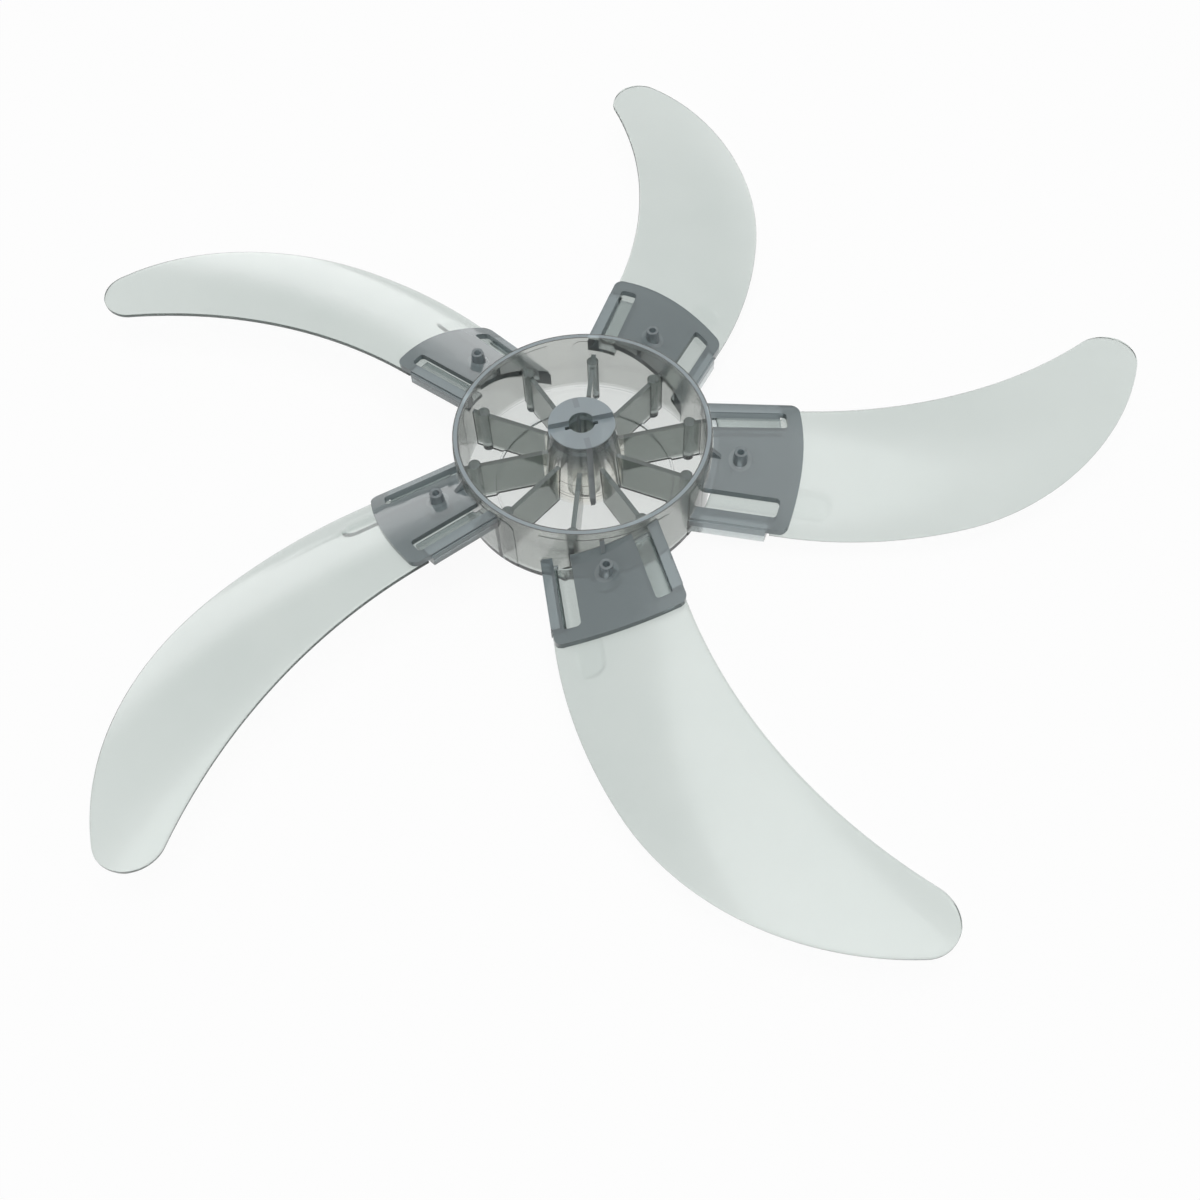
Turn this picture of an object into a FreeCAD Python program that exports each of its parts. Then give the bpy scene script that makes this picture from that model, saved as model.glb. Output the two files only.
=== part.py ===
import FreeCAD, Part
import math
import os

import Sketcher
from FreeCAD import Placement, Rotation, Vector

# A five-blade impeller for a pedestal fan, lying on the nose of its hub.
# Z is the shaft axis and points to the motor; z = 0 is the flat front face of the hub.
# X lies along the drive-pin slot in the hub's boss.  All lengths are in millimetres.

SIZES = [
    # Drum of the hub
    ("rim_radius", 40.0, "outer radius of the drum"),
    ("drum_depth", 25.5, "height of the rim above the front face"),
    ("drum_wall", 1.8, "thickness of the drum wall"),
    ("floor_thick", 2.0, "thickness of the drum floor"),
    ("nose_round", 1.5, "radius of the front outer edge"),
    ("recess_radius", 28.2, "radius of the shallow recess in the front face"),
    ("recess_depth", 1.0, "depth of the shallow recess in the front face"),
    # Boss on the shaft
    ("boss_rise", 2.9, "height of the boss above the rim"),
    ("boss_top_radius", 10.3, "radius of the boss at its rear face"),
    ("boss_base_radius", 12.8, "radius of the boss at the drum floor"),
    ("boss_wall", 1.9, "thickness of the outer wall of the cored boss"),
    ("boss_cap", 4.5, "solid thickness behind the rear face of the boss"),
    ("bore_radius", 4.1, "radius of the shaft bore"),
    ("sleeve_wall", 2.0, "wall of the sleeve around the shaft bore"),
    ("web_thick", 1.4, "thickness of the two webs inside the boss"),
    ("slot_width", 3.4, "width of the drive-pin slot"),
    ("slot_depth", 2.2, "depth of the drive-pin slot"),
    ("notch_span", 10.4, "length of the notch across the bore"),
    ("notch_width", 2.8, "width of the notch across the bore"),
    ("notch_depth", 9.0, "depth of the notch below the rear face"),
    # Ribs inside the drum
    ("rib_count", 10, "number of radial ribs"),
    ("rib_thick", 1.5, "thickness of a rib"),
    ("rib_drop", 7.6, "distance from the rim down to the top of the ribs"),
    ("column_radius", 1.9, "radius of the round column on each rib"),
    ("column_inset", 5.6, "distance from the drum's outside to the column's axis"),
    ("column_rise", 0.9, "height of the column above its rib"),
    # Arms that hold the blades
    ("blade_count", 5, "number of arms and blades"),
    ("arm_angle", -22.7, "angle from the pin slot to the first arm's screw"),
    ("arm_length", 28.2, "distance from the drum to the outer end of an arm"),
    ("plate_thick", 2.0, "thickness of the arm's plate"),
    ("plate_corner", 3.0, "radius of the plate's outer corners"),
    ("fit_gap", 0.1, "clearance between a blade and its socket"),
    ("socket_inset", 3.2, "distance from the arm's side in to the blade's root"),
    ("wall_proud", 0.4, "distance that the socket's side walls stand out beyond the plate"),
    ("wall_drop", 0.9, "distance from the plate's rear face down to the top of those walls"),
    ("lip_thick", 1.4, "thickness of the lips under the blade"),
    ("lead_lip_reach", 5.2, "reach of the leading lip under the blade"),
    ("trail_lip_reach", 1.4, "reach of the trailing lip under the blade"),
    ("lip_setback", 6.0, "distance from the arm's end back to the lips"),
    ("window_width", 5.2, "width of the windows in the plate"),
    ("window_setback", 4.4, "distance from the arm's end back to the windows"),
    ("window_corner", 1.2, "radius of the window's outer corners"),
    ("screw_offset", 9.1, "distance from the drum to the screw's axis"),
    ("post_drop", 2.6, "distance from the rim down to the tip of a screw post"),
    ("post_tip_radius", 1.95, "radius of the screw post at its tip"),
    ("post_root_radius", 2.7, "radius of the screw post at the foot of its taper"),
    ("post_taper_height", 8.0, "height over which the screw post tapers"),
    ("pilot_radius", 1.1, "radius of the pilot hole for the screw"),
    ("gusset_length", 3.2, "length of the gusset between drum and plate"),
    ("gusset_thick", 1.4, "thickness of that gusset"),
    ("gusset_drop", 2.5, "distance from the rim down to the gusset's top"),
    ("skirt_angle", 33.0, "angle from the screw to the end of the skirt on the drum's outside"),
    ("skirt_step", 0.25, "height of that skirt on the drum's outside"),
    ("skirt_drop", 2.7, "distance from the rim down to the skirt's top"),
    ("skirt_corner", 3.0, "radius of the skirt's upper corner"),
    # Plan outline of a blade, in the frame of its arm with the screw on +X
    ("lead_angle", 18.1, "angle of the leading edge at the arm's end"),
    ("lead_heading", 8.5, "direction of the leading edge inside the arm"),
    ("lead_radius", 154.5, "radius of the hollow leading edge"),
    ("trail_angle", -15.2, "angle of the trailing edge at the arm's end"),
    ("trail_heading", 0.3, "direction of the trailing edge inside the arm"),
    ("trail_inner_radius", 146.0, "radius of the inner stretch of the trailing edge"),
    ("trail_inner_turn", 21.7, "angle turned along that inner stretch"),
    ("trail_outer_radius", 84.4, "radius of the outer stretch of the trailing edge"),
    ("tip_radius", 10.0, "radius of the rounded blade tip"),
    ("root_gap", 2.2, "distance from the drum to the blade's root end"),
    # Curved and twisted form of a blade
    ("blade_thick", 1.6, "thickness of a blade"),
    ("lead_drop", 4.3, "distance from the rim down to the leading edge at the drum"),
    ("lead_fall", 0.048, "fall of the leading edge per millimetre of radius"),
    ("pitch_slope", 0.44, "slope from leading to trailing edge at the drum"),
    ("pitch_run", 167.0, "distance from the drum at which that slope would vanish"),
    ("camber", 3.2, "height of the blade's camber at the drum"),
    ("camber_fall", 0.0044, "loss of camber per millimetre of radius"),
    ("camber_chord", 40.0, "chord over which the camber is measured"),
    # Screw seat and stiffening tongue on the front of a blade
    ("screw_clear_radius", 1.6, "radius of the screw hole in a blade"),
    ("screw_head_radius", 3.2, "radius of the countersink for the screw's head"),
    ("seat_radius", 4.6, "radius of the flat seat around the screw hole"),
    ("seat_depth", 2.6, "depth of the seat's face below the blade's middle"),
    ("countersink_depth", 1.6, "depth of the countersink"),
    ("tongue_width", 9.5, "width of the tongue"),
    ("tongue_length", 13.5, "length of the tongue beyond the arm's end"),
    ("tongue_thick", 0.5, "height of the tongue on the blade's front"),
]

# How far cutting shapes and the blade's surfaces reach beyond what they cut or bound
REACH = 60.0
SIDE_MARGIN = 3.0
INNER_MARGIN = 12.0
OUTER_MARGIN = 6.0
# How finely the blade's surfaces are measured and laid through points
SLOPE_STEP = 0.01
LEAD_STATIONS = 13
CHORD_STATIONS = 7
EDGE_STATIONS = 12
# The tongue's end round takes nearly half of its width at each corner
TONGUE_ROUND_SHARE = 0.45
# How closely an edge must lie on a size to be recognised
MATCH = 1e-3
# Sketch points of a line or circle
START_POINT = 1
END_POINT = 2
CENTRE_POINT = 3
# The sketch's own origin
ORIGIN = (-1, START_POINT)

doc = FreeCAD.newDocument("fan_impeller")
sheet = doc.addObject("Spreadsheet::Sheet", "sizes")
for row, (alias, value, note) in enumerate(SIZES, start=1):
    sheet.set(f"A{row}", note)
    sheet.set(f"B{row}", str(value))
    sheet.setAlias(f"B{row}", alias)
doc.recompute()


def size(alias):
    """The number in the sheet's cell of that name."""
    return float(getattr(sheet, alias))


# Sketches bound to the sheet

def plane_of(body, role):
    """The body's own origin plane with that role."""
    return next(item for item in body.Origin.OriginFeatures if item.Role == role)


def new_sketch(body, name, role, height=None):
    """A sketch on one of the body's origin planes, lifted by an expression where one is given."""
    sketch = body.newObject("Sketcher::SketchObject", name)
    sketch.AttachmentSupport = [(plane_of(body, role), "")]
    sketch.MapMode = "FlatFace"
    if height:
        sketch.setExpression("AttachmentOffset.Base.z", height)
    return sketch


def bind(sketch, kind, geometry, corner, expression):
    """Ties one coordinate of a sketch point to an expression of the sheet."""
    value = float(sketch.evalExpression(expression))
    index = sketch.addConstraint(Sketcher.Constraint(kind, *ORIGIN, geometry, corner, value))
    sketch.setExpression(f"Constraints[{index}]", expression)


def add_polygon(sketch, corners):
    """A closed polygon whose corners are pairs of expressions."""
    places = [Vector(*[float(sketch.evalExpression(text)) for text in corner]) for corner in corners]
    first = sketch.GeometryCount
    count = len(corners)
    for index in range(count):
        line = Part.LineSegment(places[index], places[(index + 1) % count])
        sketch.addGeometry(line, False)
    for index in range(count):
        following = first + (index + 1) % count
        sketch.addConstraint(Sketcher.Constraint("Coincident", first + index, END_POINT, following, START_POINT))
    for index, (across, along) in enumerate(corners):
        bind(sketch, "DistanceX", first + index, START_POINT, across)
        bind(sketch, "DistanceY", first + index, START_POINT, along)


def add_circle(sketch, across, radius):
    """A circle centred on the sketch's X axis."""
    centre = Vector(float(sketch.evalExpression(across)), 0, 0)
    circle = Part.Circle(centre, Vector(0, 0, 1), float(sketch.evalExpression(radius)))
    index = sketch.addGeometry(circle, False)
    bind(sketch, "DistanceX", index, CENTRE_POINT, across)
    bind(sketch, "DistanceY", index, CENTRE_POINT, "0")
    spot = sketch.addConstraint(Sketcher.Constraint("Radius", index, circle.Radius))
    sketch.setExpression(f"Constraints[{spot}]", radius)


def add_bar(sketch, length, width):
    """A rectangle of two expressions, centred on the sketch's origin."""
    half_length = f"({length}) / 2"
    half_width = f"({width}) / 2"
    add_polygon(sketch, [
        (f"-{half_length}", f"-{half_width}"),
        (half_length, f"-{half_width}"),
        (half_length, half_width),
        (f"-{half_length}", half_width),
    ])


# Hub core: drum, floor, cored boss, ribs and bore

BOSS_TOP = "sizes.drum_depth + sizes.boss_rise"
CORE_TOP = f"{BOSS_TOP} - sizes.boss_cap"
INNER_FLOOR = "sizes.recess_depth + sizes.floor_thick"
RIB_TOP = "sizes.drum_depth - sizes.rib_drop"
SLEEVE_RADIUS = "sizes.bore_radius + sizes.sleeve_wall"
JOINT_RADIUS = "sizes.rim_radius - sizes.drum_wall / 2"
SLOT_LENGTH = "2 * (sizes.boss_top_radius + sizes.boss_wall)"


def boss_radius_at(height):
    """Expression for the tapered boss's outer radius at a height given as an expression."""
    share = f"(({height}) - ({INNER_FLOOR})) / (({BOSS_TOP}) - ({INNER_FLOOR}))"
    return f"sizes.boss_base_radius - (sizes.boss_base_radius - sizes.boss_top_radius) * {share}"


core = doc.addObject("PartDesign::Body", "hub_core")


def add_drum():
    """The drum and boss turned about the shaft axis, cored from the front."""
    sketch = new_sketch(core, "drum_profile", "YZ_Plane")
    add_polygon(sketch, [
        ("sizes.bore_radius", "0"),
        (SLEEVE_RADIUS, "0"),
        (SLEEVE_RADIUS, CORE_TOP),
        (f"{boss_radius_at(CORE_TOP)} - sizes.boss_wall", CORE_TOP),
        (f"{boss_radius_at('sizes.recess_depth')} - sizes.boss_wall", "sizes.recess_depth"),
        ("sizes.recess_radius", "sizes.recess_depth"),
        ("sizes.recess_radius", "0"),
        ("sizes.rim_radius", "0"),
        ("sizes.rim_radius", "sizes.drum_depth"),
        ("sizes.rim_radius - sizes.drum_wall", "sizes.drum_depth"),
        ("sizes.rim_radius - sizes.drum_wall", "sizes.floor_thick"),
        ("sizes.recess_radius + sizes.floor_thick / 2", "sizes.floor_thick"),
        ("sizes.recess_radius", INNER_FLOOR),
        ("sizes.boss_base_radius", INNER_FLOOR),
        ("sizes.boss_top_radius", BOSS_TOP),
        ("sizes.bore_radius", BOSS_TOP),
    ])
    drum = core.newObject("PartDesign::Revolution", "drum")
    drum.Profile = sketch
    drum.ReferenceAxis = (sketch, ["V_Axis"])
    drum.Angle = 360
    doc.recompute()
    return drum


def round_nose(drum):
    """Rounds the front outer edge of the drum."""
    def is_nose(edge):
        round_edge = isinstance(edge.Curve, Part.Circle)
        box = edge.BoundBox
        return round_edge and abs(box.ZMax) < MATCH and abs(box.XMax - size("rim_radius")) < MATCH

    names = [f"Edge{index}" for index, edge in enumerate(drum.Shape.Edges, start=1) if is_nose(edge)]
    nose = core.newObject("PartDesign::Fillet", "nose_edge")
    nose.Base = (drum, names)
    nose.setExpression("Radius", "sizes.nose_round")
    doc.recompute()


def add_ribs():
    """Radial ribs from the boss to the drum wall, each with a round column near its outer end."""
    embed = f"({INNER_FLOOR}) / 2"
    sketch = new_sketch(core, "rib_profile", "XZ_Plane")
    add_polygon(sketch, [
        (f"{boss_radius_at(embed)} - sizes.boss_wall / 2", embed),
        (JOINT_RADIUS, embed),
        (JOINT_RADIUS, RIB_TOP),
        (f"{boss_radius_at(RIB_TOP)} - sizes.boss_wall / 2", RIB_TOP),
    ])
    rib = core.newObject("PartDesign::Pad", "rib")
    rib.Profile = sketch
    rib.Midplane = True
    rib.setExpression("Length", "sizes.rib_thick")

    circle = new_sketch(core, "column_circle", "XY_Plane", "sizes.floor_thick / 2")
    add_circle(circle, "sizes.rim_radius - sizes.column_inset", "sizes.column_radius")
    column = core.newObject("PartDesign::Pad", "column")
    column.Profile = circle
    column.setExpression("Length", f"{RIB_TOP} + sizes.column_rise - sizes.floor_thick / 2")
    doc.recompute()

    ring = core.newObject("PartDesign::PolarPattern", "rib_ring")
    ring.Originals = [rib, column]
    ring.Axis = (circle, ["N_Axis"])
    ring.Angle = 360
    ring.setExpression("Occurrences", "sizes.rib_count")
    core.Tip = ring
    doc.recompute()


def add_webs():
    """Two webs across the cored boss, square to the pin slot."""
    top = f"{CORE_TOP} + sizes.boss_cap / 2"
    reach_low = f"{boss_radius_at('sizes.recess_depth')} - sizes.boss_wall / 2"
    reach_high = f"{boss_radius_at(top)} - sizes.boss_wall / 2"
    sketch = new_sketch(core, "web_profile", "YZ_Plane")
    add_polygon(sketch, [
        (f"-({reach_low})", "sizes.recess_depth"),
        (reach_low, "sizes.recess_depth"),
        (reach_high, top),
        (f"-({reach_high})", top),
    ])
    web = core.newObject("PartDesign::Pad", "boss_webs")
    web.Profile = sketch
    web.Midplane = True
    web.setExpression("Length", "sizes.web_thick")
    doc.recompute()


def cut_pocket(name, fill, depth=None):
    """Cuts a sketched shape down into the boss from its rear face."""
    before = core.Shape.Volume
    sketch = new_sketch(core, f"{name}_outline", "XY_Plane", BOSS_TOP)
    fill(sketch)
    pocket = core.newObject("PartDesign::Pocket", name)
    pocket.Profile = sketch
    if depth:
        pocket.setExpression("Length", depth)
    else:
        pocket.Type = "ThroughAll"
    doc.recompute()
    if core.Shape.Volume >= before:
        raise RuntimeError(f"{name} removed nothing")


round_nose(add_drum())
add_ribs()
add_webs()
cut_pocket("shaft_bore", lambda sketch: add_circle(sketch, "0", "sizes.bore_radius"))
cut_pocket(
    "pin_slot",
    lambda sketch: add_bar(sketch, SLOT_LENGTH, "sizes.slot_width"),
    "sizes.slot_depth",
)
cut_pocket(
    "bore_notch",
    lambda sketch: add_bar(sketch, "sizes.notch_span", "sizes.notch_width"),
    "sizes.notch_depth",
)


# Plan geometry of an arm and its blade, in the arm's frame with the screw on +X

RIM = size("rim_radius")
ARM_END = RIM + size("arm_length")
SOCKET_START = RIM - size("drum_wall") / 2
SCREW_X = RIM + size("screw_offset")
LIP_END = ARM_END - size("lip_setback")
GAP = size("fit_gap")
SOCKET_INSET = size("socket_inset")
WALL_PROUD = size("wall_proud")
HALF_BLADE = size("blade_thick") / 2
PLATE_UNDER = HALF_BLADE + GAP
PLATE_OVER = PLATE_UNDER + size("plate_thick")
LIP_OVER = -HALF_BLADE - GAP
LIP_UNDER = LIP_OVER - size("lip_thick")


def polar(radius, angle):
    """The plan point at a radius and an angle in radians."""
    return Vector(radius * math.cos(angle), radius * math.sin(angle), 0)


def left_of(heading):
    """The unit vector to the left of a heading in radians."""
    return Vector(-math.sin(heading), math.cos(heading), 0)


class Edge:
    """A straight side of the arm: its corner at the arm's end, its heading and its inward side."""

    def __init__(self, side, inward):
        self.corner = polar(ARM_END, math.radians(size(f"{side}_angle")))
        self.heading = math.radians(size(f"{side}_heading"))
        self.inward = left_of(self.heading) * inward

    def at_radius(self, inset, radius):
        """Where the line set in from this side crosses a circle about the shaft."""
        start = self.corner + self.inward * inset
        along = polar(1, self.heading)
        forward = start.dot(along)
        reach = math.sqrt(forward ** 2 - start.dot(start) + radius ** 2)
        return start + along * (reach - forward)


LEAD = Edge("lead", -1)
TRAIL = Edge("trail", 1)


def arc_about_shaft(start, finish):
    """The arc about the shaft axis between two points at one radius."""
    radius = start.Length
    middle = (start + finish).normalize() * radius
    return Part.Arc(start, middle, finish).toShape()


def sector(low_edge, low_inset, high_edge, high_inset, inner, outer):
    """A plan face between two set-in sides and two circles about the shaft."""
    low_in = low_edge.at_radius(low_inset, inner)
    low_out = low_edge.at_radius(low_inset, outer)
    high_in = high_edge.at_radius(high_inset, inner)
    high_out = high_edge.at_radius(high_inset, outer)
    return Part.Face(Part.Wire([
        Part.makeLine(low_in, low_out),
        arc_about_shaft(low_out, high_out),
        Part.makeLine(high_out, high_in),
        arc_about_shaft(high_in, low_in),
    ]))


def upright(face):
    """A plan face carried straight up through the whole height of the part."""
    face.translate(Vector(0, 0, -REACH))
    return face.extrude(Vector(0, 0, 2 * REACH))


def round_outer_corners(prism, radius):
    """Rounds the two upright edges of a prism that lie furthest from the shaft."""
    upright_edges = [edge for edge in prism.Edges if edge.BoundBox.ZLength > REACH]
    upright_edges.sort(key=lambda edge: math.hypot(edge.CenterOfMass.x, edge.CenterOfMass.y))
    return prism.makeFillet(radius, upright_edges[-2:])


# The blade's twisted middle surface and the layers that follow it

def lead_point(travel, depth):
    """A plan point: a distance along the leading edge, then square to it into the blade.

    The edge is straight inside the arm and bends to the left as an arc beyond it."""
    radius = size("lead_radius")
    if travel <= 0:
        heading = LEAD.heading
        place = LEAD.corner + polar(travel, heading)
    else:
        heading = LEAD.heading + travel / radius
        centre = LEAD.corner + left_of(LEAD.heading) * radius
        place = centre - left_of(heading) * radius
    return place - left_of(heading) * depth


def middle_height(place, depth):
    """Height of the blade's middle surface: the falling leading edge, less the pitch, plus the camber."""
    beyond = math.hypot(place.x, place.y) - RIM
    lead = size("drum_depth") - size("lead_drop") - size("lead_fall") * beyond
    pitch = size("pitch_slope") * (1 - beyond / size("pitch_run"))
    camber = size("camber") - size("camber_fall") * beyond
    share = depth / size("camber_chord")
    return lead - pitch * depth + 4 * camber * share * (1 - share)


def trail_path():
    """The trailing edge beyond the arm: an inner arc, then a tighter outer one."""
    start = TRAIL.corner
    inner_radius = size("trail_inner_radius")
    outer_radius = size("trail_outer_radius")
    turn = math.radians(size("trail_inner_turn"))
    inner_centre = start + left_of(TRAIL.heading) * inner_radius
    middle = inner_centre - left_of(TRAIL.heading + turn / 2) * inner_radius
    bend = inner_centre - left_of(TRAIL.heading + turn) * inner_radius
    outer_centre = bend + left_of(TRAIL.heading + turn) * outer_radius
    return start, middle, bend, outer_centre


def tip_centre(lead_centre, trail_centre):
    """Centre of the tip's round, which touches the leading and the outer trailing arc."""
    from_lead = size("lead_radius") + size("tip_radius")
    from_trail = size("trail_outer_radius") - size("tip_radius")
    between = trail_centre - lead_centre
    span = between.Length
    along = (from_lead ** 2 - from_trail ** 2 + span ** 2) / (2 * span)
    aside = math.sqrt(from_lead ** 2 - along ** 2)
    between.normalize()
    across = Vector(-between.y, between.x, 0)
    choices = [lead_centre + between * along + across * aside, lead_centre + between * along - across * aside]
    return max(choices, key=lambda point: point.x)


def arc_by_centre(centre, start, finish):
    """The shorter arc from start to finish about a centre."""
    radius = (start - centre).Length
    middle = ((start - centre) + (finish - centre)).normalize() * radius
    return Part.Arc(start, centre + middle, finish).toShape()


def straight_run(corners):
    """Straight edges from each corner to the next."""
    return [Part.makeLine(*pair) for pair in zip(corners, corners[1:])]


def blade_plan():
    """The blade's plan face: crescent edges, a round tip, and a narrower root between the socket's walls."""
    root = RIM + size("root_gap")
    neck = LIP_END + GAP
    inset = SOCKET_INSET + GAP
    lead_centre = LEAD.corner + left_of(LEAD.heading) * size("lead_radius")
    trail_start, trail_middle, bend, trail_centre = trail_path()
    centre = tip_centre(lead_centre, trail_centre)
    lead_touch = lead_centre + (centre - lead_centre).normalize() * size("lead_radius")
    trail_touch = trail_centre + (centre - trail_centre).normalize() * size("trail_outer_radius")
    trail_side = [TRAIL.at_radius(inset, root), TRAIL.at_radius(inset, neck), TRAIL.at_radius(0, neck), trail_start]
    lead_side = [LEAD.corner, LEAD.at_radius(0, neck), LEAD.at_radius(inset, neck), LEAD.at_radius(inset, root)]
    return Part.Face(Part.Wire(
        straight_run(trail_side)
        + [
            Part.Arc(trail_start, trail_middle, bend).toShape(),
            arc_by_centre(trail_centre, bend, trail_touch),
            arc_by_centre(centre, trail_touch, lead_touch),
            arc_by_centre(lead_centre, lead_touch, LEAD.corner),
        ]
        + straight_run(lead_side)
        + [arc_about_shaft(lead_side[-1], trail_side[0])]
    ))


def middle_point(travel, depth):
    """The point of the middle surface at a distance along the leading edge and a depth into the blade."""
    place = lead_point(travel, depth)
    place.z = middle_height(place, depth)
    return place


def offset_point(travel, depth, distance):
    """A point at a distance square to the middle surface, positive towards the rear."""
    along = middle_point(travel + SLOPE_STEP, depth) - middle_point(travel - SLOPE_STEP, depth)
    across = middle_point(travel, depth - SLOPE_STEP) - middle_point(travel, depth + SLOPE_STEP)
    return middle_point(travel, depth) + along.cross(across).normalize() * distance


def surface_limits(plan):
    """Stations along the leading edge and depths that reach a little beyond the arm and the blade."""
    lead_centre = LEAD.corner + left_of(LEAD.heading) * size("lead_radius")
    edge_points = [point for edge in plan.Edges for point in edge.discretize(EDGE_STATIONS)]
    deepest = max((point - lead_centre).Length for point in edge_points) - size("lead_radius")
    inward = (LEAD.corner - LEAD.at_radius(0, SOCKET_START)).Length
    outward = math.hypot(plan.BoundBox.XMax - LEAD.corner.x, plan.BoundBox.YMax - LEAD.corner.y)
    return (-inward - INNER_MARGIN, outward + OUTER_MARGIN), (-SIDE_MARGIN, deepest + SIDE_MARGIN)


PLAN = blade_plan()
TRAVELS, DEPTHS = surface_limits(PLAN)


def spread(limits, count):
    """Evenly spaced stations from the first limit to the second."""
    start, finish = limits
    return [start + (finish - start) * index / (count - 1) for index in range(count)]


def skin(distance):
    """A smooth face at a distance from the blade's middle surface."""
    surface = Part.BSplineSurface()
    surface.interpolate([
        [offset_point(travel, depth, distance) for depth in spread(DEPTHS, CHORD_STATIONS)]
        for travel in spread(TRAVELS, LEAD_STATIONS)
    ])
    return surface.toShape()


def layer(low, high):
    """The solid between two distances from the middle surface, positive towards the rear."""
    below = skin(low)
    above = skin(high)
    sides = [Part.makeRuledSurface(*pair) for pair in zip(below.Edges, above.Edges)]
    shell = Part.Shell([below, above] + sides)
    shell.sewShape()
    solid = Part.Solid(shell.Shells[0] if shell.ShapeType != "Shell" else shell)
    if solid.Volume < 0:
        solid.reverse()
    return solid


def single_solid(shape):
    """The one solid that a boolean result holds."""
    if len(shape.Solids) != 1:
        raise RuntimeError(f"expected one solid, found {len(shape.Solids)}")
    return shape.Solids[0]


# Arm of the hub

def window(edge):
    """The long opening in the plate beside one of its sides, up to the drum."""
    far = SOCKET_INSET + size("window_width")
    face = sector(edge, SOCKET_INSET, edge, far, RIM, ARM_END - size("window_setback"))
    return round_outer_corners(upright(face), size("window_corner"))


def socket_plate():
    """The plate behind the blade, with its two windows."""
    face = sector(TRAIL, 0, LEAD, 0, SOCKET_START, ARM_END)
    outline = round_outer_corners(upright(face), size("plate_corner"))
    plate = layer(PLATE_UNDER, PLATE_OVER).common(outline)
    return plate.cut(window(LEAD)).cut(window(TRAIL))


def socket_side(edge, reach):
    """The side wall beside one edge of the blade and the lip that reaches under it."""
    wall = sector(edge, -WALL_PROUD, edge, SOCKET_INSET, SOCKET_START, LIP_END)
    lip = sector(edge, -WALL_PROUD, edge, SOCKET_INSET + reach, SOCKET_START, LIP_END)
    standing = layer(LIP_UNDER, PLATE_OVER - size("wall_drop")).common(upright(wall))
    return standing.fuse(layer(LIP_UNDER, LIP_OVER).common(upright(lip)))


def screw_post():
    """The tapered post that takes the blade's screw, down to the plate's underside."""
    tip = size("drum_depth") - size("post_drop")
    taper = size("post_taper_height")
    growth = (size("post_root_radius") - size("post_tip_radius")) / taper
    height = size("drum_depth")
    root_radius = size("post_tip_radius") + growth * height
    return Part.makeCone(root_radius, size("post_tip_radius"), height, Vector(SCREW_X, 0, tip - height))


def gusset():
    """The small web that ties the drum to the plate in line with the screw post."""
    top = size("drum_depth") - size("gusset_drop")
    foot = RIM + size("gusset_length")
    half = size("gusset_thick") / 2
    corners = [
        Vector(SOCKET_START, -half, top),
        Vector(RIM, -half, top),
        Vector(foot, -half, top - size("gusset_length")),
        Vector(foot, -half, 0),
        Vector(SOCKET_START, -half, 0),
    ]
    face = Part.Face(Part.makePolygon(corners + corners[:1]))
    return face.extrude(Vector(0, size("gusset_thick"), 0))


def skirt():
    """The slightly raised field on the drum's outside below the arm, which ends beyond its leading side."""
    low = size("nose_round")
    height = size("drum_depth") - size("skirt_drop") - low
    start = TRAIL.at_radius(0, RIM)
    start_angle = math.degrees(math.atan2(start.y, start.x))
    span = size("skirt_angle") - start_angle
    foot = Vector(0, 0, low)
    upward = Vector(0, 0, 1)
    ring = Part.makeCylinder(RIM + size("skirt_step"), height, foot, upward, span)
    ring = ring.cut(Part.makeCylinder(SOCKET_START, height, foot, upward))
    ring.rotate(Vector(0, 0, 0), upward, start_angle)
    end = polar(RIM, math.radians(size("skirt_angle")))
    corner = [
        edge for edge in ring.Edges
        if edge.BoundBox.ZMin > low + height - MATCH and edge.BoundBox.isInside(Vector(end.x, end.y, low + height))
        and isinstance(edge.Curve, Part.Line)
    ]
    return ring.makeFillet(size("skirt_corner"), corner)


def arm_shape():
    """One arm: plate, two sides with lips, screw post, gusset and skirt, drilled for the screw."""
    above = layer(PLATE_UNDER, PLATE_UNDER + size("drum_depth"))
    standing = screw_post().fuse(gusset()).common(above)
    arm = socket_plate().fuse([
        socket_side(LEAD, size("lead_lip_reach")),
        socket_side(TRAIL, size("trail_lip_reach")),
        standing,
        skirt(),
    ])
    pilot = Part.makeCylinder(size("pilot_radius"), 2 * REACH, Vector(SCREW_X, 0, -REACH))
    return single_solid(arm.cut(pilot))


# Blade

def tongue_outline():
    """A strip beside the trailing lip that ends in a round beyond the arm."""
    near = SOCKET_INSET + size("trail_lip_reach") + GAP
    far = near + size("tongue_width")
    start = RIM + size("root_gap")
    strip = upright(sector(TRAIL, near, TRAIL, far, start, ARM_END + size("tongue_length")))
    return round_outer_corners(strip, TONGUE_ROUND_SHARE * size("tongue_width"))


def blade_shape():
    """One blade: the crescent sheet, its tongue, and a countersunk seat for the screw."""
    sheet_solid = layer(-HALF_BLADE, HALF_BLADE).common(upright(PLAN.copy()))
    tongue = layer(-HALF_BLADE - size("tongue_thick"), 0).common(tongue_outline())
    screw_depth = LEAD.inward.dot(Vector(SCREW_X, 0, 0) - LEAD.corner)
    seat_face = middle_height(Vector(SCREW_X, 0, 0), screw_depth) - size("seat_depth")
    axis_foot = Vector(SCREW_X, 0, seat_face)
    seat = Part.makeCylinder(size("seat_radius"), size("drum_depth"), axis_foot)
    seat = seat.common(layer(-size("drum_depth"), 0))
    blade = sheet_solid.fuse([tongue, seat])
    hole = Part.makeCylinder(size("screw_clear_radius"), 2 * REACH, Vector(SCREW_X, 0, -REACH))
    sink = Part.makeCone(
        size("screw_head_radius"), size("screw_clear_radius"), size("countersink_depth"), axis_foot
    )
    return single_solid(blade.cut(hole).cut(sink))


# Assembly: five arms joined to the hub core, and five blades in their sockets

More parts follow.
